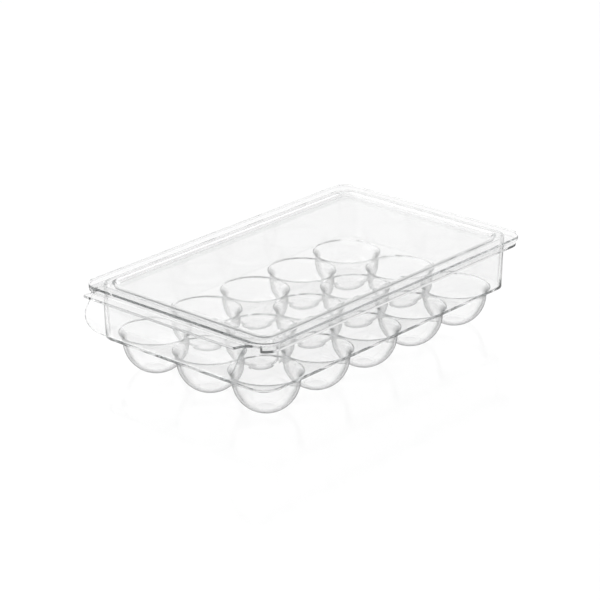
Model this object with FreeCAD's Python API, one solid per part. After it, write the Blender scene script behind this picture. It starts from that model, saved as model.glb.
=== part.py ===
"""Clear moulded egg tray with fifteen hanging cups, a pull handle at one end and a lift-off lid.

Frame: +Z up, the front (pull handle) towards -Y, origin on the table under the middle of the whole part.
Units are millimetres. One STEP file is written for each named piece.
"""
import FreeCAD, Part
import math
import os

# ---- driving dimensions ------------------------------------------------------------------------
CUPS_ACROSS = 3            # cups along X
CUPS_ALONG = 5             # cups along Y
CUP_PITCH = 50.0           # centre to centre, room for a large hen's egg
BOWL_R = 22.9              # outside radius of the round bottom of a cup
BOWL_DROP = 6.2            # centre of the round bottom below the floor's top face
CUP_WALL = 1.5             # wall of a cup
CUP_FOOT_R = 7.0           # flat foot under every cup
FLARE_R = 6.5              # outside radius of the flare from bowl to collar
COLLAR_R = 24.7            # outside of the collar that meets the floor
FLOOR_T = 1.6              # floor thickness
FLOOR_EDGE_R = 1.5         # rounding of the floor's lower outer edge

WALL_T = 1.4               # tray wall thickness
BOX_HALF_X = 75.2          # outside of the tray at the floor
BOX_HALF_Y = 128.4
BOX_CORNER_R = 12.0        # upright corners at the rim, outside
BOX_FOOT_CORNER_R = 15.0   # upright corners at the floor, outside
BOX_DRAFT = 1.4            # how much the walls lean out over their height
RIM_TOP = 35.2             # top of the walls and of the pull handle's root above the floor's top face
RIM_T = 1.8                # rim flange thickness
RIM_DROP = 3.6             # rim flange below the top of the walls, except at the pull handle
RIM_HALF_X = 82.6          # outside of the rim flange
RIM_HALF_Y = 135.4

LID_GAP = 0.3              # air between lid and rim all round
LID_T = 1.8                # lid sheet at its border
LID_HALF_X = 83.8          # outside of the lid
LID_HALF_Y = 136.8
LID_CORNER_R = 13.0
LID_SKIRT_T = 0.85         # short skirt around the rim
LID_SKIRT_DROP = 1.1       # how far the skirt reaches below the border's underside
LID_STEP_HALF_X = 70.6     # top edge of the step down to the recessed panel
LID_STEP_HALF_Y = 123.0
LID_PANEL_HALF_X = 68.6    # foot of the step, on the panel's top face
LID_PANEL_HALF_Y = 121.0
LID_STEP_R = 8.0
LID_RECESS = 3.3           # panel's top face below the border's top face
LID_PANEL_T = 1.6

PULL_HALF_X = 68.0         # half width of the pull handle
PULL_REACH = 15.0          # how far the lip stands out from the rim
PULL_FLAT = 2.4            # level stretch of the lip before it rises
PULL_RISE = 1.7            # rise of the lip's outer edge
PULL_TIP_R = 2.0           # corners of the lip
PULL_ROOT_R = 9.0          # fillets where the lip runs into the rim
APRON_R = 19.6             # outside radius of the curved finger apron
APRON_T = 1.6
APRON_AXIS_OUT = 2.2       # apron's axis in front of the tray's front wall
APRON_AXIS_UP = 17.0       # apron's axis above the floor's top face
APRON_FOOT_UP = 12.5       # lower edge of the apron above the floor's top face
APRON_CORNER_R = 14.0      # lower corners of the apron

# ---- worked out from them ----------------------------------------------------------------------
FOOT_DROP = BOWL_DROP + math.sqrt(BOWL_R**2 - CUP_FOOT_R**2)
FLOOR_Z = FOOT_DROP
FLOOR_UNDER_Z = FLOOR_Z - FLOOR_T
RIM_Z = FLOOR_Z + RIM_TOP
RIM_UNDER_Z = RIM_Z - RIM_T
LID_UNDER_Z = RIM_Z + LID_GAP
LID_Z = LID_UNDER_Z + LID_T
PANEL_Z = LID_Z - LID_RECESS
PANEL_UNDER_Z = PANEL_Z - LID_PANEL_T
APRON_AXIS_Z = FLOOR_Z + APRON_AXIS_UP
APRON_FOOT_Z = FLOOR_Z + APRON_FOOT_UP
FRONT_REACH = max(RIM_HALF_Y + PULL_REACH, BOX_HALF_Y + APRON_AXIS_OUT + APRON_R)
GRID_Y = (FRONT_REACH - LID_HALF_Y) / 2     # middle of the cup grid, so that the whole part is centred
FRONT_RIM_Y = GRID_Y - RIM_HALF_Y
LIP_TIP_Y = FRONT_RIM_Y - PULL_REACH
WEB_X = PULL_HALF_X + PULL_ROOT_R           # where the rim steps up to the pull handle
APRON_AXIS_Y = GRID_Y - BOX_HALF_Y - APRON_AXIS_OUT
FAR = 400.0                # larger than the part, for cutting


def vec(x, y, z):
    return FreeCAD.Vector(x, y, z)


def box(x0, x1, y0, y1, z0, z1):
    return Part.makeBox(x1 - x0, y1 - y0, z1 - z0, vec(x0, y0, z0))


def arcEdge(start, middle, end):
    return Part.Arc(start, middle, end).toShape()


def lineEdge(start, end):
    return Part.LineSegment(start, end).toShape()


def roundedRect(halfX, halfY, radius, z):
    """Closed wire round the cup grid's middle."""
    edges = []
    corners = ((1, -1, -90), (1, 1, 0), (-1, 1, 90), (-1, -1, 180))
    ends = []
    for sideX, sideY, startAngle in corners:
        centreX = sideX * (halfX - radius)
        centreY = GRID_Y + sideY * (halfY - radius)
        points = []
        for step in (0, 45, 90):
            angle = math.radians(startAngle + step)
            points.append(vec(centreX + radius * math.cos(angle), centreY + radius * math.sin(angle), z))
        ends.append(points)
    for index, points in enumerate(ends):
        edges.append(arcEdge(*points))
        following = ends[(index + 1) % 4]
        edges.append(lineEdge(points[2], following[0]))
    return Part.Wire(edges)


def plate(halfX, halfY, radius, z0, z1):
    """Flat plate with rounded corners."""
    face = Part.Face(roundedRect(halfX, halfY, radius, z0))
    return face.extrude(vec(0, 0, z1 - z0))


def draftedBlock(lower, upper, z0, z1):
    """Block whose outline goes from lower to upper, each (half X, half Y, corner radius)."""
    wires = [roundedRect(*lower, z0), roundedRect(*upper, z1)]
    return Part.makeLoft(wires, True, True)


def cupCentres():
    for row in range(CUPS_ALONG):
        for column in range(CUPS_ACROSS):
            x = (column - (CUPS_ACROSS - 1) / 2) * CUP_PITCH
            y = GRID_Y + (row - (CUPS_ALONG - 1) / 2) * CUP_PITCH
            yield row, column, x, y


# ---- cups --------------------------------------------------------------------------------------
def cupSolid():
    """One cup on the Z axis: flat foot, round bowl, flare and collar, turned from its section."""
    bowlZ = FLOOR_Z - BOWL_DROP
    innerBowlR = BOWL_R - CUP_WALL
    innerFootZ = CUP_WALL
    innerFootR = math.sqrt(innerBowlR**2 - (bowlZ - innerFootZ)**2)
    flareR = BOWL_R + FLARE_R
    innerFlareR = FLARE_R + CUP_WALL
    flareRise = math.sqrt(FLARE_R**2 - (flareR - COLLAR_R)**2)
    mouthR = flareR - math.sqrt(innerFlareR**2 - BOWL_DROP**2)

    def onBowl(radius, angle):
        return vec(radius * math.cos(angle), 0, bowlZ + radius * math.sin(angle))

    def onFlare(radius, angle):
        return vec(flareR - radius * math.cos(angle), 0, bowlZ + radius * math.sin(angle))

    outerFoot = vec(CUP_FOOT_R, 0, 0)
    innerFoot = vec(innerFootR, 0, innerFootZ)
    outerSide = onBowl(BOWL_R, 0)
    innerSide = onBowl(innerBowlR, 0)
    outerFootAngle = math.atan2(-bowlZ, CUP_FOOT_R)
    innerFootAngle = math.atan2(innerFootZ - bowlZ, innerFootR)
    outerFlareAngle = math.atan2(flareRise, flareR - COLLAR_R)
    innerFlareAngle = math.asin(BOWL_DROP / innerFlareR)
    collarLow = onFlare(FLARE_R, outerFlareAngle)
    collarTop = vec(COLLAR_R, 0, FLOOR_Z)
    mouth = vec(mouthR, 0, FLOOR_Z)
    edges = [
        lineEdge(vec(0, 0, 0), outerFoot),
        arcEdge(outerFoot, onBowl(BOWL_R, outerFootAngle / 2), outerSide),
        arcEdge(outerSide, onFlare(FLARE_R, outerFlareAngle / 2), collarLow),
        lineEdge(collarLow, collarTop),
        lineEdge(collarTop, mouth),
        arcEdge(mouth, onFlare(innerFlareR, innerFlareAngle / 2), innerSide),
        arcEdge(innerSide, onBowl(innerBowlR, innerFootAngle / 2), innerFoot),
        lineEdge(innerFoot, vec(0, 0, innerFootZ)),
        lineEdge(vec(0, 0, innerFootZ), vec(0, 0, 0)),
    ]
    face = Part.Face(Part.Wire(edges))
    return face.revolve(vec(0, 0, 0), vec(0, 0, 1), 360)


def cups():
    """One node for each cup, rows counted from the handle and columns from the left."""
    pieces = {}
    pattern = cupSolid()
    for row, column, x, y in cupCentres():
        cup = pattern.copy()
        cup.translate(vec(x, y, 0))
        pieces[f"egg_cup_row{row + 1}_col{column + 1}"] = cup
    return pieces


# ---- floor -------------------------------------------------------------------------------------
def trayFloor():
    """Floor between and around the cups, as separate tiles cut on the lines through the cup centres."""
    slab = plate(BOX_HALF_X, BOX_HALF_Y, BOX_FOOT_CORNER_R, FLOOR_UNDER_Z, FLOOR_Z)
    lowerEdges = [edge for edge in slab.Edges if abs(edge.BoundBox.ZMax - FLOOR_UNDER_Z) < 1e-6]
    slab = slab.makeFillet(FLOOR_EDGE_R, lowerEdges)
    holes = [Part.makeCylinder(COLLAR_R, 3 * FLOOR_T, vec(x, y, FLOOR_UNDER_Z - FLOOR_T))
             for _, _, x, y in cupCentres()]
    slab = slab.cut(holes)
    cutsX = [-FAR] + sorted({x for _, _, x, _ in cupCentres()}) + [FAR]
    cutsY = [-FAR] + sorted({y for _, _, _, y in cupCentres()}) + [FAR]
    tiles = []
    for x0, x1 in zip(cutsX, cutsX[1:]):
        for y0, y1 in zip(cutsY, cutsY[1:]):
            tiles.extend(slab.common(box(x0, x1, y0, y1, 0, FAR)).Solids)
    return Part.makeCompound(tiles)


# ---- walls and rim -----------------------------------------------------------------------------
def wallBlock(offset, z0, z1):
    """Drafted block at the tray's outside (offset 0) or inside (offset of the wall thickness)."""
    lower = (BOX_HALF_X - offset, BOX_HALF_Y - offset, BOX_FOOT_CORNER_R - offset)
    upper = (BOX_HALF_X + BOX_DRAFT - offset, BOX_HALF_Y + BOX_DRAFT - offset, BOX_CORNER_R - offset)
    return draftedBlock(lower, upper, z0, z1)


def wallsAndRim():
    """Four walls, four corners and four strips of rim flange; the front strip is the raised one."""
    outside = wallBlock(0, FLOOR_Z, RIM_Z)
    walls = outside.cut(wallBlock(WALL_T, FLOOR_Z, RIM_Z))
    cornerX = BOX_HALF_X - BOX_CORNER_R
    cornerY = BOX_HALF_Y - BOX_CORNER_R
    yFront = GRID_Y - cornerY
    yBack = GRID_Y + cornerY
    rimOutline = (RIM_HALF_X, RIM_HALF_Y, BOX_CORNER_R)
    webInsideX = WEB_X - RIM_T
    lowRim = plate(*rimOutline, RIM_UNDER_Z - RIM_DROP, RIM_Z - RIM_DROP)
    lowRim = lowRim.cut(box(-webInsideX, webInsideX, -FAR, yFront, 0, FAR))
    raisedRim = plate(*rimOutline, RIM_UNDER_Z, RIM_Z).common(box(-WEB_X, WEB_X, -FAR, yFront, 0, FAR))
    webs = plate(*rimOutline, RIM_UNDER_Z - RIM_DROP, RIM_Z).common(box(-WEB_X, WEB_X, -FAR, yFront, 0, FAR))
    webs = webs.cut(box(-webInsideX, webInsideX, -FAR, FAR, 0, FAR))
    rim = lowRim.fuse(raisedRim).fuse(webs).cut(outside)
    regions = {
        "left": box(-FAR, -cornerX, yFront, yBack, 0, FAR),
        "right": box(cornerX, FAR, yFront, yBack, 0, FAR),
        "front": box(-cornerX, cornerX, -FAR, yFront, 0, FAR),
        "back": box(-cornerX, cornerX, yBack, FAR, 0, FAR),
    }
    corners = {
        "corner_front_left": box(-FAR, -cornerX, -FAR, yFront, 0, FAR),
        "corner_front_right": box(cornerX, FAR, -FAR, yFront, 0, FAR),
        "corner_back_left": box(-FAR, -cornerX, yBack, FAR, 0, FAR),
        "corner_back_right": box(cornerX, FAR, yBack, FAR, 0, FAR),
    }
    pieces = {}
    for side, region in regions.items():
        pieces[f"wall_{side}"] = walls.common(region)
        pieces[f"rim_{side}"] = rim.common(region)
    for name, region in corners.items():
        pieces[name] = walls.common(region).fuse(rim.common(region)).removeSplitter()
    return pieces


# ---- pull handle -------------------------------------------------------------------------------
def lipOutline():
    """The lip seen from above, from the rim out to its straight front edge, as a flat face."""
    rootX = WEB_X
    rootY = FRONT_RIM_Y
    backY = rootY + BOX_CORNER_R
    filletY = rootY - PULL_ROOT_R
    half = math.sqrt(0.5)
    points = [
        vec(rootX, rootY, 0),
        vec(rootX - PULL_ROOT_R * half, rootY - PULL_ROOT_R * (1 - half), 0),
        vec(PULL_HALF_X, filletY, 0),
        vec(PULL_HALF_X, LIP_TIP_Y + PULL_TIP_R, 0),
        vec(PULL_HALF_X - PULL_TIP_R * (1 - half), LIP_TIP_Y + PULL_TIP_R * (1 - half), 0),
        vec(PULL_HALF_X - PULL_TIP_R, LIP_TIP_Y, 0),
    ]
    mirrored = [vec(-p.x, p.y, 0) for p in points]
    edges = [
        lineEdge(vec(rootX, backY, 0), points[0]),
        arcEdge(points[0], points[1], points[2]),
        lineEdge(points[2], points[3]),
        arcEdge(points[3], points[4], points[5]),
        lineEdge(points[5], mirrored[5]),
        arcEdge(mirrored[5], mirrored[4], mirrored[3]),
        lineEdge(mirrored[3], mirrored[2]),
        arcEdge(mirrored[2], mirrored[1], mirrored[0]),
        lineEdge(mirrored[0], vec(-rootX, backY, 0)),
        lineEdge(vec(-rootX, backY, 0), vec(rootX, backY, 0)),
    ]
    return Part.Face(Part.Wire(edges))


def pullLip():
    """Flat at the rim so that the lid clears it, then rising a little to its outer edge."""
    backY = FRONT_RIM_Y + BOX_CORNER_R
    flatEndY = FRONT_RIM_Y - PULL_FLAT
    section = [
        vec(-FAR, backY, RIM_UNDER_Z),
        vec(-FAR, flatEndY, RIM_UNDER_Z),
        vec(-FAR, LIP_TIP_Y, RIM_UNDER_Z + PULL_RISE),
        vec(-FAR, LIP_TIP_Y, RIM_Z + PULL_RISE),
        vec(-FAR, flatEndY, RIM_Z),
        vec(-FAR, backY, RIM_Z),
        vec(-FAR, backY, RIM_UNDER_Z),
    ]
    bar = Part.Face(Part.makePolygon(section)).extrude(vec(2 * FAR, 0, 0))
    lip = bar.common(lipOutline().extrude(vec(0, 0, FAR)))
    return lip.cut(plate(RIM_HALF_X, RIM_HALF_Y, BOX_CORNER_R, FLOOR_Z, RIM_Z + RIM_T))


def pullApron():
    """Curved skirt under the lip that the fingers hook behind."""
    axis = vec(-PULL_HALF_X, APRON_AXIS_Y, APRON_AXIS_Z)
    width = 2 * PULL_HALF_X
    tube = Part.makeCylinder(APRON_R, width, axis, vec(1, 0, 0))
    tube = tube.cut(Part.makeCylinder(APRON_R - APRON_T, width, axis, vec(1, 0, 0)))
    frontFace = box(-PULL_HALF_X, PULL_HALF_X, -FAR, APRON_AXIS_Y, APRON_FOOT_Z, FAR)
    lowerEdges = [edge for edge in frontFace.Edges
                  if edge.BoundBox.ZMax < APRON_FOOT_Z + 1e-6 and edge.BoundBox.XLength < 1e-6]
    frontFace = frontFace.makeFillet(APRON_CORNER_R, lowerEdges)
    apron = tube.common(frontFace)
    underLip = [
        vec(-FAR, APRON_AXIS_Y, RIM_UNDER_Z),
        vec(-FAR, FRONT_RIM_Y - PULL_FLAT, RIM_UNDER_Z),
        vec(-FAR, LIP_TIP_Y, RIM_UNDER_Z + PULL_RISE),
        vec(-FAR, LIP_TIP_Y, FAR),
        vec(-FAR, APRON_AXIS_Y, FAR),
        vec(-FAR, APRON_AXIS_Y, RIM_UNDER_Z),
    ]
    above = Part.Face(Part.makePolygon(underLip)).extrude(vec(2 * FAR, 0, 0))
    return apron.cut(above)


# ---- lid ---------------------------------------------------------------------------------------
def lidPieces():
    """Recessed centre panel and four strips of border, each with its length of step and skirt."""
    sheet = plate(LID_HALF_X, LID_HALF_Y, LID_CORNER_R, LID_UNDER_Z, LID_Z)
    skirtFoot = LID_UNDER_Z - LID_SKIRT_DROP
    skirt = plate(LID_HALF_X, LID_HALF_Y, LID_CORNER_R, skirtFoot, LID_UNDER_Z)
    inside = (LID_HALF_X - LID_SKIRT_T, LID_HALF_Y - LID_SKIRT_T, LID_CORNER_R - LID_SKIRT_T)
    skirt = skirt.cut(plate(*inside, skirtFoot, LID_UNDER_Z))
    notchX = WEB_X + 1.0
    skirt = skirt.cut(box(-notchX, notchX, -FAR, GRID_Y - BOX_HALF_Y, 0, FAR))
    wellTop = (LID_STEP_HALF_X, LID_STEP_HALF_Y, LID_STEP_R)
    wellFoot = (LID_PANEL_HALF_X, LID_PANEL_HALF_Y, LID_STEP_R)
    grow = LID_T
    tubTop = tuple(size + grow for size in wellTop)
    tubFoot = tuple(size + grow for size in wellFoot)
    well = draftedBlock(wellFoot, wellTop, PANEL_Z, LID_Z)
    tub = draftedBlock(tubFoot, tubTop, PANEL_UNDER_Z, LID_Z)
    whole = sheet.fuse(skirt).fuse(tub).cut(well)
    panel = whole.common(plate(*wellFoot, PANEL_UNDER_Z, PANEL_Z))
    border = whole.cut(plate(*wellFoot, PANEL_UNDER_Z, PANEL_Z))
    endX = LID_PANEL_HALF_X - LID_STEP_R
    regions = {
        "lid_border_left": box(-FAR, -endX, -FAR, FAR, 0, FAR),
        "lid_border_right": box(endX, FAR, -FAR, FAR, 0, FAR),
        "lid_border_front": box(-endX, endX, -FAR, GRID_Y, 0, FAR),
        "lid_border_back": box(-endX, endX, GRID_Y, FAR, 0, FAR),
    }
    pieces = {"lid_panel": panel}
    for name, region in regions.items():
        pieces[name] = border.common(region)
    return pieces


def main():
    os.makedirs("parts", exist_ok=True)
    pieces = cups()
    pieces["tray_floor"] = trayFloor()
    pieces.update(wallsAndRim())
    pieces["pull_lip"] = pullLip()
    pieces["pull_apron"] = pullApron()
    pieces.update(lidPieces())
    for name, shape in pieces.items():
        print(name, len(shape.Solids), "solid(s)", round(shape.Volume), "mm3", shape.isValid())
        shape.exportStep(f"parts/{name}.step")
    whole = Part.makeCompound(list(pieces.values())).BoundBox
    print("size", round(whole.XLength, 1), round(whole.YLength, 1), round(whole.ZLength, 1))
    print("low corner", round(whole.XMin, 2), round(whole.YMin, 2), round(whole.ZMin, 2))


main()
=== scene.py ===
import math

import bmesh
import bpy
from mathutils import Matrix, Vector


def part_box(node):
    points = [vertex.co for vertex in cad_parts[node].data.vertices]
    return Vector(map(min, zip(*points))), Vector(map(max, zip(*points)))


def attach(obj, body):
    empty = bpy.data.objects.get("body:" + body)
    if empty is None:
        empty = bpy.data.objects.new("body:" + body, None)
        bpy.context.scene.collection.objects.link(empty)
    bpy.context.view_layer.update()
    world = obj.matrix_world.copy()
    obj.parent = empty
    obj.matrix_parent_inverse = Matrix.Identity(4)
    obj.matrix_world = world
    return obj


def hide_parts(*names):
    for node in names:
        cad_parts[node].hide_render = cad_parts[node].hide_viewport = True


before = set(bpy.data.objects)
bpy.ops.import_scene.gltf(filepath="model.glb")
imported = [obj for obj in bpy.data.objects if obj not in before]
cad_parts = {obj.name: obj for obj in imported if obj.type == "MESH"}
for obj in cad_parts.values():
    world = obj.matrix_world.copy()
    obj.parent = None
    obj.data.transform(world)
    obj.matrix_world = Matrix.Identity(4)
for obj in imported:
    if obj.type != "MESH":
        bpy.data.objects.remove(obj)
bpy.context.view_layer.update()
mm = 0.001
scene = bpy.context.scene


# where things are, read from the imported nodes
floorLow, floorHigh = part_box("tray_floor")
rimLow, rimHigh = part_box("rim_left")
handleRootLow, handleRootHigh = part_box("rim_front")
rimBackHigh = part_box("rim_back")[1]
wallLow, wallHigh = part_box("wall_left")
lidLow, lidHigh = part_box("lid_border_left")
panelLow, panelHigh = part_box("lid_panel")
lipLow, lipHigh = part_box("pull_lip")
apronLow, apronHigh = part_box("pull_apron")
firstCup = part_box("egg_cup_row1_col1")
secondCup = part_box("egg_cup_row2_col2")

floorTop = floorHigh.z
floorUnder = floorLow.z
boxHalfX = (floorHigh.x - floorLow.x) / 2
boxHalfY = (floorHigh.y - floorLow.y) / 2
gridY = (floorHigh.y + floorLow.y) / 2     # the cup grid, box, rim and lid share this middle
rimTop = rimHigh.z
rimUnder = rimLow.z
rimHalfX = -rimLow.x
rimHalfY = (rimBackHigh.y - handleRootLow.y) / 2
wallTop = wallHigh.z
lean = -wallLow.x - boxHalfX               # the walls stand this much further out at the top
rootTop = handleRootHigh.z                 # the rim is raised where the pull handle joins it
rootUnder = handleRootLow.z
lidHalfX = -lidLow.x
lidHalfY = (lidHigh.y - lidLow.y) / 2
lidTop = lidHigh.z
panelTop = panelHigh.z
panelUnder = panelLow.z
panelHalfX = (panelHigh.x - panelLow.x) / 2
panelHalfY = (panelHigh.y - panelLow.y) / 2
cupPitchX = secondCup[0].x - firstCup[0].x
cupPitchY = secondCup[0].y - firstCup[0].y
print("frame read: box", round(2 * boxHalfX / mm, 1), "x", round(2 * boxHalfY / mm, 1), "mm")


# small helpers

def linearColour(hexText):
    parts = [int(hexText[i:i + 2], 16) / 255 for i in (1, 3, 5)]
    return [c / 12.92 if c <= 0.04045 else ((c + 0.055) / 1.055) ** 2.4 for c in parts] + [1.0]


def addNode(tree, kind, settings=None, links=None):
    # settings are the node's own options or, by socket name or number, input values; links feed its inputs
    node = tree.nodes.new(kind)
    for key, value in (settings or {}).items():
        if isinstance(key, str) and hasattr(node, key):
            setattr(node, key, value)
        else:
            node.inputs[key].default_value = value
    for key, socket in (links or {}).items():
        tree.links.new(socket, node.inputs[key])
    return node


def addObject(name, mesh):
    piece = bpy.data.objects.new(name, mesh)
    scene.collection.objects.link(piece)
    return piece


def meshFrom(bm, name):
    mesh = bpy.data.meshes.new(name)
    bm.to_mesh(mesh)
    bm.free()
    return mesh


def ringPoints(halfX, halfY, radius, z, steps):
    # a rounded rectangle round the cup grid's middle, from the front right corner round to the front left one
    points = []
    for sideX, sideY, start in ((1, -1, -90), (1, 1, 0), (-1, 1, 90), (-1, -1, 180)):
        for step in range(steps + 1):
            angle = math.radians(start + 90 * step / steps)
            x = sideX * (halfX - radius) + radius * math.cos(angle)
            y = gridY + sideY * (halfY - radius) + radius * math.sin(angle)
            points.append(Vector((x, y, z)))
    return points


def softened(corners, steps):
    # each corner is its place and how far along both sides its rounding starts
    places = []
    for index, (place, reach) in enumerate(corners):
        if reach == 0 or index in (0, len(corners) - 1):
            places.append(place)
            continue
        before = corners[index - 1][0]
        after = corners[index + 1][0]
        start = place + (before - place).normalized() * reach
        end = place + (after - place).normalized() * reach
        for step in range(steps + 1):
            t = step / steps
            places.append(start * (1 - t) ** 2 + place * (2 * t * (1 - t)) + end * t ** 2)
    return places


def skin(bm, rows):
    # faces between neighbouring closed rows that have the same number of points
    made = [[bm.verts.new(p) for p in row] for row in rows]
    for lower, upper in zip(made, made[1:]):
        for i in range(len(lower)):
            j = (i + 1) % len(lower)
            bm.faces.new((lower[i], lower[j], upper[j], upper[i]))
    return made


def circlePoints(z, radius, segments):
    turns = [2 * math.pi * i / segments for i in range(segments)]
    return [Vector((radius * math.cos(t), radius * math.sin(t), z)) for t in turns]


def closed(bm):
    bmesh.ops.remove_doubles(bm, verts=bm.verts, dist=0.0005 * mm)
    bmesh.ops.dissolve_degenerate(bm, edges=bm.edges, dist=0.0005 * mm)
    bmesh.ops.recalc_face_normals(bm, faces=bm.faces)
    openEdges = [e for e in bm.edges if not e.is_manifold]
    print("  open edges:", len(openEdges))


def polished(piece, sharpAngle=34):
    # smooth shading that keeps flats flat and real edges crisp, left in the mesh as its own normals
    for face in piece.data.polygons:
        face.use_smooth = True
    piece.data.set_sharp_from_angle(angle=math.radians(sharpAngle))
    modifier = piece.modifiers.new("flatFaces", "WEIGHTED_NORMAL")
    modifier.keep_sharp = True
    modifier.weight = 80
    return applied(piece)


def applied(piece):
    graph = bpy.context.evaluated_depsgraph_get()
    mesh = bpy.data.meshes.new_from_object(piece.evaluated_get(graph), depsgraph=graph)
    piece.modifiers.clear()
    old = piece.data
    piece.data = mesh
    bpy.data.meshes.remove(old)
    return piece


def cut(piece, others, how):
    # adds the others to the piece or takes them away, exactly
    for other in others:
        modifier = piece.modifiers.new("cut", "BOOLEAN")
        modifier.operation = how
        modifier.solver = "EXACT"
        modifier.object = other
    applied(piece)
    for other in others:
        bpy.data.objects.remove(other)
    return piece


# clear plastics

clearSettings = {
    "ior": 1.57,             # crystal polystyrene and PET lie between 1.57 and 1.59
    "tint": "#FEFEFE",
    "paintedShadeTint": "#3A3D3E",   # painted shade: the dark grey a glancing look shows, in place of dark surroundings
    "paintedShadeStart": 0.5,
    "paintedShadeLeast": 0.04,       # painted shade: a trace of grey on every upright face
    "paintedShadeMost": 0.86,
    "depthTint": "#A2A7A7",
    "depthPerM": 9.0,
    "rippleMm": 26.0,        # flow ripples from filling the mould
    "rippleDepthMm": 0.010,
    "smoothest": 0.012,
    "dullest": 0.045,        # handling haze
    "hazeMm": 38.0,
    "shadeFull": 0.6,        # the painted shade fades out as a face turns from upright to level
    "shadeGone": 0.85,
}
lidClearSettings = {**clearSettings, "rippleMm": 34.0, "rippleDepthMm": 0.012, "depthPerM": 6.0}


def clearPlastic(name, settings):
    # injection moulded crystal styrene from a polished mould: bright outlines, nearly invisible flats,
    # slow ripples that bend what is seen through them
    material = bpy.data.materials.new(name)
    material.use_nodes = True
    tree = material.node_tree
    tree.nodes.clear()
    place = addNode(tree, "ShaderNodeTexCoord").outputs["Object"]
    ripple = addNode(tree, "ShaderNodeTexNoise", {
        "Scale": 1 / (settings["rippleMm"] * mm), "Detail": 1.0, "Roughness": 0.35}, {"Vector": place})
    haze = addNode(tree, "ShaderNodeTexNoise", {
        "Scale": 1 / (settings["hazeMm"] * mm), "Detail": 3.0}, {"Vector": place})
    dullness = addNode(tree, "ShaderNodeMapRange", {
        "From Min": 0.35, "From Max": 0.75, "To Min": settings["smoothest"], "To Max": settings["dullest"]},
        {"Value": haze.outputs["Fac"]})
    rippleBump = addNode(tree, "ShaderNodeBump", {
        "Strength": 1.0, "Distance": settings["rippleDepthMm"] * mm}, {"Height": ripple.outputs["Fac"]})
    # painted shade: a dark grey diffuse is mixed in where an upright face is seen from outside at a glancing
    # look, giving dark outlines without dark surroundings
    facing = addNode(tree, "ShaderNodeLayerWeight", {"Blend": 0.5}).outputs["Facing"]
    glancingPaintedShade = addNode(tree, "ShaderNodeMapRange", {
        "From Min": settings["paintedShadeStart"], "From Max": 1.0,
        "To Min": settings["paintedShadeLeast"], "To Max": settings["paintedShadeMost"]}, {"Value": facing})
    surface = addNode(tree, "ShaderNodeNewGeometry").outputs
    upward = addNode(tree, "ShaderNodeSeparateXYZ", None, {"Vector": surface["Normal"]}).outputs["Z"]
    upright = addNode(tree, "ShaderNodeMapRange", {
        "From Min": settings["shadeFull"], "From Max": settings["shadeGone"], "To Min": 1.0, "To Max": 0.0},
        {"Value": upward})
    outside = addNode(tree, "ShaderNodeMath", {"operation": "SUBTRACT", 0: 1.0}, {1: surface["Backfacing"]})
    paintedShadeMask = addNode(tree, "ShaderNodeMath", {"operation": "MULTIPLY"},
                    {0: upright.outputs["Result"], 1: outside.outputs["Value"]})
    edge = addNode(tree, "ShaderNodeMath", {"operation": "MULTIPLY"},
                   {0: glancingPaintedShade.outputs["Result"], 1: paintedShadeMask.outputs["Value"]})
    clear = addNode(tree, "ShaderNodeBsdfPrincipled", {
        "Base Color": linearColour(settings["tint"]), "Transmission Weight": 1.0, "IOR": settings["ior"]},
        {"Roughness": dullness.outputs["Result"], "Normal": rippleBump.outputs["Normal"]})
    # the grey of the painted shade at glancing edges
    shade = addNode(tree, "ShaderNodeBsdfDiffuse", {"Color": linearColour(settings["paintedShadeTint"])})
    mixed = addNode(tree, "ShaderNodeMixShader", None, {
        0: edge.outputs["Value"], 1: clear.outputs["BSDF"], 2: shade.outputs["BSDF"]})
    depth = addNode(tree, "ShaderNodeVolumeAbsorption", {
        "Color": linearColour(settings["depthTint"]), "Density": settings["depthPerM"]})
    addNode(tree, "ShaderNodeOutputMaterial", None, {
        "Surface": mixed.outputs["Shader"], "Volume": depth.outputs["Volume"]})
    return material


trayPlastic = clearPlastic("crystalStyreneMoulded", clearSettings)
lidPlastic = clearPlastic("crystalStyreneLid", lidClearSettings)
print("plastics made")


# tray moulding: cups, floor, walls, rim and pull handle in one

cupSettings = {
    "bowlR": 22.9 * mm,
    "bowlDrop": 6.2 * mm,        # centre of the round bottom below the floor's top face
    "wall": 1.5 * mm,
    "footR": 7.0 * mm,
    "flareR": 6.5 * mm,
    "footSoft": 1.6 * mm,
    "segments": 72,
    "across": 3,
    "along": 5,
}


def arcPlaces(centreR, centreZ, radius, startAngle, endAngle, steps):
    places = []
    for step in range(steps + 1):
        angle = startAngle + (endAngle - startAngle) * step / steps
        places.append(Vector((centreR + radius * math.cos(angle), centreZ + radius * math.sin(angle))))
    return places


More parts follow.
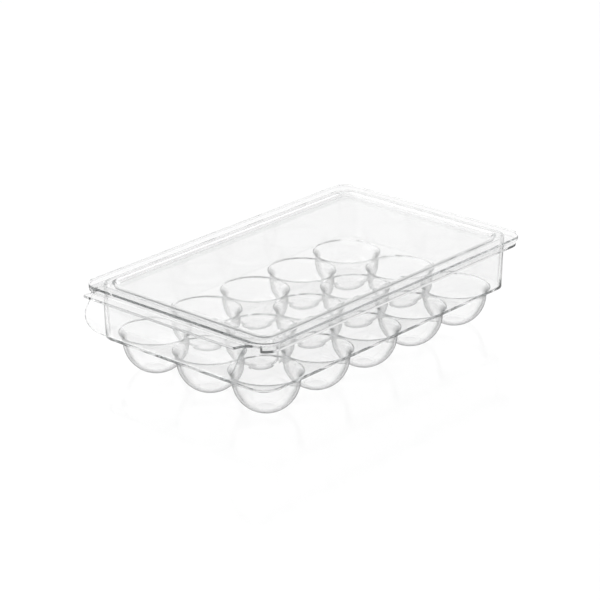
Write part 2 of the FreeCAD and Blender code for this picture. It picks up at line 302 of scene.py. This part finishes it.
def cupSections(settings):
    # outside and inside of a cup from its foot up; both run on past the floor so that the cuts are clean
    bowlZ = floorTop - settings["bowlDrop"]
    wall = settings["wall"]
    innerR = settings["bowlR"] - wall
    flareCentre = settings["bowlR"] + settings["flareR"]
    innerFlare = settings["flareR"] + wall
    innerFootAngle = math.asin((wall - bowlZ) / innerR)
    outerFootAngle = -math.acos(settings["footR"] / settings["bowlR"])
    mouthAngle = math.pi - math.asin(settings["bowlDrop"] / innerFlare)
    underAngle = math.pi - math.asin((floorUnder - bowlZ) / settings["flareR"])
    outer = (0, settings["bowlR"], outerFootAngle, settings["flareR"], underAngle,
             0.08 * mm, floorTop - 0.1 * mm)
    inner = (wall, innerR, innerFootAngle, innerFlare, mouthAngle,
             -0.7 * mm, floorTop + 2.5 * mm)
    sections = []
    for footZ, bowlR, footAngle, flareR, endAngle, endGrow, endZ in (outer, inner):
        bowl = arcPlaces(0, bowlZ, bowlR, footAngle, 0, 20)
        flare = arcPlaces(flareCentre, bowlZ, flareR, math.pi, endAngle, 8)[1:]
        places = [Vector((0, footZ)), Vector((3 * mm, footZ))] + bowl + flare
        corners = [(place, 0) for place in places]
        corners[2] = (bowl[0], settings["footSoft"])
        section = softened(corners, 6)
        section += [Vector((flare[-1].x + endGrow, endZ)), Vector((0, endZ))]
        sections.append(section)
    return sections


def turned(section, segments, name):
    # a closed body of revolution whose section starts and ends on the axis
    bm = bmesh.new()
    rows = skin(bm, [circlePoints(place.y, place.x, segments) for place in section[1:-1]])
    for row, place in ((rows[0], section[0]), (rows[-1], section[-1])):
        pole = bm.verts.new((0, 0, place.y))
        for a, b in zip(row, row[1:] + row[:1]):
            bm.faces.new((pole, a, b))
    closed(bm)
    return addObject(name, meshFrom(bm, name))


def cupGridTree():
    # lays one cup out on the grid, then makes it real
    tree = bpy.data.node_groups.new("cupGrid", "GeometryNodeTree")
    inputs = {}
    for label, kind in (("Geometry", "NodeSocketGeometry"), ("Cup", "NodeSocketObject"),
                        ("Across", "NodeSocketInt"), ("Along", "NodeSocketInt"),
                        ("Pitch Across", "NodeSocketFloat"), ("Pitch Along", "NodeSocketFloat"),
                        ("Middle", "NodeSocketVector"), ("Plastic", "NodeSocketMaterial")):
        inputs[label] = tree.interface.new_socket(label, in_out="INPUT", socket_type=kind).identifier
    tree.interface.new_socket("Geometry", in_out="OUTPUT", socket_type="NodeSocketGeometry")
    given = addNode(tree, "NodeGroupInput").outputs

    def span(count, pitch):
        gaps = addNode(tree, "ShaderNodeMath", {"operation": "SUBTRACT", 1: 1.0}, {0: given[count]})
        return addNode(tree, "ShaderNodeMath", {"operation": "MULTIPLY"},
                       {0: gaps.outputs[0], 1: given[pitch]}).outputs[0]

    grid = addNode(tree, "GeometryNodeMeshGrid", None, {
        "Size X": span("Across", "Pitch Across"), "Size Y": span("Along", "Pitch Along"),
        "Vertices X": given["Across"], "Vertices Y": given["Along"]})
    moved = addNode(tree, "GeometryNodeSetPosition", None, {
        "Geometry": grid.outputs["Mesh"], "Offset": given["Middle"]})
    cup = addNode(tree, "GeometryNodeObjectInfo", {"As Instance": True}, {"Object": given["Cup"]})
    placed = addNode(tree, "GeometryNodeInstanceOnPoints", None, {
        "Points": moved.outputs["Geometry"], "Instance": cup.outputs["Geometry"]})
    real = addNode(tree, "GeometryNodeRealizeInstances", None, {"Geometry": placed.outputs["Instances"]})
    finished = addNode(tree, "GeometryNodeSetMaterial", None, {
        "Geometry": real.outputs["Geometry"], "Material": given["Plastic"]})
    addNode(tree, "NodeGroupOutput", None, {"Geometry": finished.outputs["Geometry"]})
    return tree, inputs


def makeCups(section, name):
    pattern = turned(section, cupSettings["segments"], "cupPattern")
    piece = addObject(name, bpy.data.meshes.new(name))
    tree, inputs = cupGridTree()
    modifier = piece.modifiers.new("cupGrid", "NODES")
    modifier.node_group = tree
    for label, value in (("Cup", pattern), ("Across", cupSettings["across"]), ("Along", cupSettings["along"]),
                         ("Pitch Across", cupPitchX), ("Pitch Along", cupPitchY),
                         ("Middle", (0.0, gridY, 0.0)), ("Plastic", trayPlastic)):
        modifier[inputs[label]] = value
    applied(piece)
    bpy.data.objects.remove(pattern)
    return piece


traySettings = {
    "wall": 1.4 * mm,
    "footR": 15.0 * mm,          # upright corners at the floor and at the top
    "topR": 12.0 * mm,
    "floorEdge": 2.4 * mm,       # rounding under the floor's outer edge
    "wallFoot": 1.8 * mm,        # rounding inside where wall meets floor
    "wallTopEdge": 0.35 * mm,
    "rimEdge": 0.4 * mm,
    "webWide": 1.8 * mm,
    "cornerSteps": 24,
}


def boxPlace(grow, cornerR, z, growY=None):
    # half sizes, corner radius and height of a ring round the tray, measured from the floor's outline
    return Vector((boxHalfX + grow, boxHalfY + (grow if growY is None else growY), cornerR, z))


def ringBody(places, name):
    # a closed body from rounded rectangles, flat at both ends
    bm = bmesh.new()
    rows = skin(bm, [ringPoints(*p.xyz, p.w, traySettings["cornerSteps"]) for p in softened(places, 7)])
    for row in (rows[0], rows[-1]):
        bm.faces.new(row)
    closed(bm)
    return addObject(name, meshFrom(bm, name))


def block(low, high, name):
    bm = bmesh.new()
    bmesh.ops.create_cube(bm, size=1.0)
    low, high = Vector(low), Vector(high)
    for vert in bm.verts:
        vert.co = Vector([a + (b - a) * (c + 0.5) for a, b, c in zip(low, high, vert.co)])
    return addObject(name, meshFrom(bm, name))


def trayOutside(settings):
    inset = settings["floorEdge"] + 1 * mm
    edge = settings["wallTopEdge"]
    return ringBody([
        (boxPlace(-inset, settings["footR"] - inset, floorUnder), 0),
        (boxPlace(0, settings["footR"], floorUnder), settings["floorEdge"]),
        (boxPlace(lean, settings["topR"], wallTop), edge),
        (boxPlace(lean - 0.6 * mm, settings["topR"] - 0.6 * mm, wallTop), 0),
    ], "outside")


def trayCavity(settings):
    wall, edge = settings["wall"], settings["wallTopEdge"]
    inset = wall + settings["wallFoot"] + 1 * mm
    flared = lean - wall + edge
    return ringBody([
        (boxPlace(-inset, settings["footR"] - inset, floorTop), 0),
        (boxPlace(-wall, settings["footR"] - wall, floorTop), settings["wallFoot"]),
        (boxPlace(lean - wall, settings["topR"] - wall, wallTop - edge), edge),
        (boxPlace(flared, settings["topR"] - wall + edge, wallTop), 0),
        (boxPlace(flared, settings["topR"] - wall + edge, wallTop + 1 * mm), 0),
    ], "cavity")


def lowRim(settings):
    # the rim flange, open at the front where the pull handle stands higher
    rimX, rimY, edge = rimHalfX - boxHalfX, rimHalfY - boxHalfY, settings["rimEdge"]
    middle = settings["topR"]
    piece = ringBody([
        (boxPlace(rimX - 4 * mm, middle - 4 * mm, rimUnder, rimY - 4 * mm), 0),
        (boxPlace(rimX, middle, rimUnder, rimY), edge),
        (boxPlace(rimX, middle, rimTop, rimY), edge),
        (boxPlace(rimX - 4 * mm, middle - 4 * mm, rimTop, rimY - 4 * mm), 0),
    ], "rim")
    half = lipHigh.x - settings["webWide"] / 2
    front = block((-half, gridY - rimHalfY - 5 * mm, rimUnder - 5 * mm),
                  (half, gridY - boxHalfY + 8 * mm, rimTop + 5 * mm), "front")
    return cut(piece, [front], "DIFFERENCE")


def makeWeb(side, settings):
    # the short upright step between the low rim and the pull handle's root
    near, far = sorted((side * (lipHigh.x - settings["webWide"]), side * (lipHigh.x - 0.01 * mm)))
    return block((near, gridY - rimHalfY + 1.9 * mm, rimUnder + 0.01 * mm),
                 (far, gridY - rimHalfY + 13 * mm, rootUnder + 0.6 * mm), "web")


pullSettings = {
    "flat": 2.4 * mm,            # level stretch of the lip before it rises
    "rootR": 9.0 * mm,
    "tipR": 2.0 * mm,
    "into": 13.5 * mm,           # how far the lip runs back, past the front wall
    "apronR": 19.6 * mm,
    "apronWall": 1.6 * mm,
    "apronOut": 2.2 * mm,        # axis in front of the tray's front wall
    "apronUp": 17.0 * mm,        # axis above the floor
    "apronCornerR": 14.0 * mm,
    "columns": 24,
}


def slab(bm, upper, lower):
    # a plate between two grids of points, closed round its border
    rowsCount, columnsCount = len(upper), len(upper[0])
    top = [[bm.verts.new(p) for p in row] for row in upper]
    under = [[bm.verts.new(p) for p in row] for row in lower]
    for i in range(rowsCount - 1):
        for j in range(columnsCount - 1):
            bm.faces.new((top[i][j], top[i][j + 1], top[i + 1][j + 1], top[i + 1][j]))
            bm.faces.new((under[i][j], under[i + 1][j], under[i + 1][j + 1], under[i][j + 1]))
    border = [(0, j) for j in range(columnsCount)]
    border += [(i, columnsCount - 1) for i in range(1, rowsCount)]
    border += [(rowsCount - 1, j) for j in range(columnsCount - 2, -1, -1)]
    border += [(i, 0) for i in range(rowsCount - 2, 0, -1)]
    for (i, j), (k, m) in zip(border, border[1:] + border[:1]):
        bm.faces.new((top[i][j], under[i][j], under[k][m], top[k][m]))


def makeLip(settings):
    rootY = gridY - rimHalfY
    flatEnd = rootY - settings["flat"]
    rise = lipHigh.z - rootTop
    halfTip = lipHigh.x - settings["rootR"]
    ways = [rootY + settings["into"], rootY]
    ways += [rootY - settings["rootR"] * math.sin(math.radians(10 * i)) for i in range(1, 9)]
    ways += [rootY - settings["rootR"], lipLow.y + settings["tipR"]]
    ways += [lipLow.y + settings["tipR"] * (1 - math.sin(math.radians(15 * i))) for i in range(1, 7)]
    ways = sorted(set(ways + [flatEnd, flatEnd - 0.8 * mm, flatEnd - 1.6 * mm]), reverse=True)
    upper, lower = [], []
    for y in ways:
        half = lipHigh.x
        if y < rootY:
            down = min(rootY - y, settings["rootR"])
            half = lipHigh.x - math.sqrt(settings["rootR"] ** 2 - (settings["rootR"] - down) ** 2)
            half = max(half, halfTip)
        if y < lipLow.y + settings["tipR"]:
            over = lipLow.y + settings["tipR"] - y
            half = halfTip - settings["tipR"] + math.sqrt(max(settings["tipR"] ** 2 - over ** 2, 0))
        lift = rise * max(0, (flatEnd - y) / (flatEnd - lipLow.y))
        xs = [half * (2 * j / settings["columns"] - 1) for j in range(settings["columns"] + 1)]
        upper.append([Vector((x, y, rootTop - 0.03 * mm + lift)) for x in xs])
        lower.append([Vector((x, y, rootUnder + lift)) for x in xs])
    bm = bmesh.new()
    slab(bm, upper, lower)
    closed(bm)
    return addObject("lip", meshFrom(bm, "lip"))


def makeApron(settings):
    axisY = gridY - boxHalfY - settings["apronOut"]
    axisZ = floorTop + settings["apronUp"]
    half = apronHigh.x
    cornerR = settings["apronCornerR"]
    outerR = settings["apronR"]
    innerR = outerR - settings["apronWall"]
    footAngle = math.asin((apronLow.z - axisZ) / outerR)
    headAngle = math.asin((rootUnder + 0.9 * mm - axisZ) / outerR)
    upper, lower = [], []
    steps = 26
    for step in range(steps + 1):
        angle = footAngle + (headAngle - footAngle) * (step / steps) ** 1.15
        z = axisZ + outerR * math.sin(angle)
        above = min(z - apronLow.z, cornerR)
        width = half - cornerR + math.sqrt(max(cornerR ** 2 - (cornerR - above) ** 2, 0))
        xs = [width * (2 * j / settings["columns"] - 1) for j in range(settings["columns"] + 1)]
        for radius, rows in ((outerR, upper), (innerR, lower)):
            rows.append([Vector((x, axisY - radius * math.cos(angle), axisZ + radius * math.sin(angle)))
                         for x in xs])
    bm = bmesh.new()
    slab(bm, upper, lower)
    closed(bm)
    return addObject("apron", meshFrom(bm, "apron"))


def trayMade():
    outside, inside = cupSections(cupSettings)
    piece = trayOutside(traySettings)
    cut(piece, [lowRim(traySettings), makeLip(pullSettings), makeWeb(-1, traySettings),
                makeWeb(1, traySettings), makeApron(pullSettings), makeCups(outside, "cupsOutside")], "UNION")
    cut(piece, [trayCavity(traySettings), makeCups(inside, "cupsInside")], "DIFFERENCE")
    piece.name = "tray_moulding"
    piece.data.materials.clear()
    piece.data.materials.append(trayPlastic)
    return polished(piece, 20)


trayMoulding = trayMade()
print("tray moulding made:", len(trayMoulding.data.polygons), "faces")


# lid

lidSettings = {
    "sheet": 1.8 * mm,
    "cornerR": 13.0 * mm,
    "skirt": 0.85 * mm,
    "skirtDrop": 1.1 * mm,
    "stepWide": 2.0 * mm,        # how far the step leans between its top edge and its foot
    "stepR": 8.0 * mm,
    "edge": 0.45 * mm,
    "stepEdge": 0.5 * mm,
    "notch": lipHigh.x + 1 * mm,    # no skirt over the pull handle inside this half width
    "cornerSteps": 24,
}


def makeLid(settings):
    sheet, skirt = settings["sheet"], settings["skirt"]
    under = lidTop - sheet
    foot = Vector((panelHalfX, panelHalfY, settings["stepR"], panelTop))
    lean = Vector((settings["stepWide"], settings["stepWide"], 0, 0))
    out = Vector((sheet, sheet, sheet, 0))

    def level(place, z):
        return Vector((place.x, place.y, place.z, z))

    edge = Vector((lidHalfX, lidHalfY, settings["cornerR"], 0))
    inner = edge - Vector((skirt, skirt, skirt, 0))
    inset = Vector((3 * mm, 3 * mm, 3 * mm, 0))
    places = softened([
        (level(foot - inset, panelTop), 0),
        (level(foot, panelTop), settings["stepEdge"]),
        (level(foot + lean, lidTop), settings["stepEdge"]),
        (level(edge, lidTop), settings["edge"]),
        (level(edge, under - settings["skirtDrop"]), 0.25 * mm),
        (level(inner, under - settings["skirtDrop"]), 0.25 * mm),
        (level(inner, under), 0.3 * mm),
        (level(foot + lean + out, under), settings["stepEdge"]),
        (level(foot + out, panelUnder), settings["stepEdge"]),
        (level(foot + out - inset, panelUnder), 0),
    ], 4)
    bm = bmesh.new()
    rings = []
    for place in places:
        points = ringPoints(*place.xyz, place.w, settings["cornerSteps"])
        if place.w < under and place.x > foot.x + 4 * mm:      # the skirt, not the step
            for point in points:
                if point.y < gridY - boxHalfY and abs(point.x) < settings["notch"]:
                    point.z = max(point.z, under)
        rings.append(points)
    rows = skin(bm, rings)
    for row in (rows[0], rows[-1]):
        bm.faces.new(row)
    closed(bm)
    return addObject("lid_sheet", meshFrom(bm, "lidSheet"))


lidSheet = makeLid(lidSettings)
lidSheet.data.materials.append(lidPlastic)
polished(lidSheet)
print("lid made:", len(lidSheet.data.polygons), "faces")


# bodies, finishes and the nodes that each piece stands for

lidNodes = sorted(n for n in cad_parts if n.startswith("lid_"))
trayNodes = sorted(set(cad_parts) - set(lidNodes))
for piece, body, finish, nodes in ((trayMoulding, "tray", "clear_tray", trayNodes),
                                   (lidSheet, "lid", "clear_lid", lidNodes)):
    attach(piece, body)
    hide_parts(*nodes)
    piece.visible_shadow = False     # the soft studio light goes through clear plastic
    piece.visible_diffuse = False


# studio

studioSettings = {
    "floor": "#F7F7F7",
    "floorSize": 30.0,
    "floorGloss": 0.08,
    "sunStrength": 1.9,
    "sunWidth": 130.0,           # degrees across, a large soft box
    "sunTilt": (18.0, -20.0, 0.0),
    "skyHorizon": 1.17,
    "skyTop": 0.42,
    "skyTurn": (0.48, 0.78),     # heights between which the sky dims
}


def makeStudio(settings):
    mesh = bpy.data.meshes.new("floor")
    half = settings["floorSize"] / 2
    corners = [(-half, -half, 0), (half, -half, 0), (half, half, 0), (-half, half, 0)]
    mesh.from_pydata(corners, [], [(0, 1, 2, 3)])
    floor = addObject("floor", mesh)
    material = bpy.data.materials.new("glossyWhiteBoard")
    material.use_nodes = True
    tree = material.node_tree
    tree.nodes.clear()
    shader = addNode(tree, "ShaderNodeBsdfPrincipled", {
        "Base Color": linearColour(settings["floor"]), "Roughness": settings["floorGloss"]})
    addNode(tree, "ShaderNodeOutputMaterial", None, {"Surface": shader.outputs["BSDF"]})
    mesh.materials.append(material)
    floor.location.z = -0.02 * mm

    sun = bpy.data.lights.new("softBox", "SUN")
    sun.energy = settings["sunStrength"]
    sun.angle = math.radians(settings["sunWidth"])
    lamp = addObject("softBox", sun)
    lamp.rotation_euler = [math.radians(turn) for turn in settings["sunTilt"]]

    world = bpy.data.worlds.new("studio")
    scene.world = world
    world.use_nodes = True
    tree = world.node_tree
    tree.nodes.clear()
    way = addNode(tree, "ShaderNodeTexCoord").outputs["Generated"]
    parts = addNode(tree, "ShaderNodeSeparateXYZ", None, {"Vector": way})
    height = addNode(tree, "ShaderNodeMapRange", {
        "From Min": settings["skyTurn"][0], "From Max": settings["skyTurn"][1],
        "To Min": settings["skyHorizon"], "To Max": settings["skyTop"]}, {"Value": parts.outputs["Z"]})
    height.interpolation_type = "SMOOTHSTEP"
    glow = addNode(tree, "ShaderNodeBackground", None, {"Strength": height.outputs["Result"]})
    addNode(tree, "ShaderNodeOutputWorld", None, {"Surface": glow.outputs["Background"]})


makeStudio(studioSettings)

cameraSettings = {
    "azimuth": 41.14,            # from the handle end towards the right side, degrees
    "elevation": 21.84,
    "distance": 1.747,
    "lens": 150.0,
    "aim": (-13.85 * mm, 6.72 * mm, 0.0),    # from the middle of the floor's top face
}


def makeCamera(settings):
    data = bpy.data.cameras.new("camera")
    data.lens = settings["lens"]
    data.sensor_width = 36.0
    data.clip_start = 0.05
    data.clip_end = 100.0
    camera = addObject("camera", data)
    a, e = math.radians(settings["azimuth"]), math.radians(settings["elevation"])
    back = Vector((math.sin(a) * math.cos(e), -math.cos(a) * math.cos(e), math.sin(e)))
    target = Vector((0, gridY, floorTop)) + Vector(settings["aim"])
    camera.location = target + back * settings["distance"]
    camera.rotation_mode = "QUATERNION"
    camera.rotation_quaternion = (-back).to_track_quat("-Z", "Y")
    scene.camera = camera


makeCamera(cameraSettings)

scene.view_settings.view_transform = "Standard"
scene.cycles.max_bounces = 96
scene.cycles.transmission_bounces = 96
scene.cycles.glossy_bounces = 96
scene.cycles.transparent_max_bounces = 16
print("studio made")
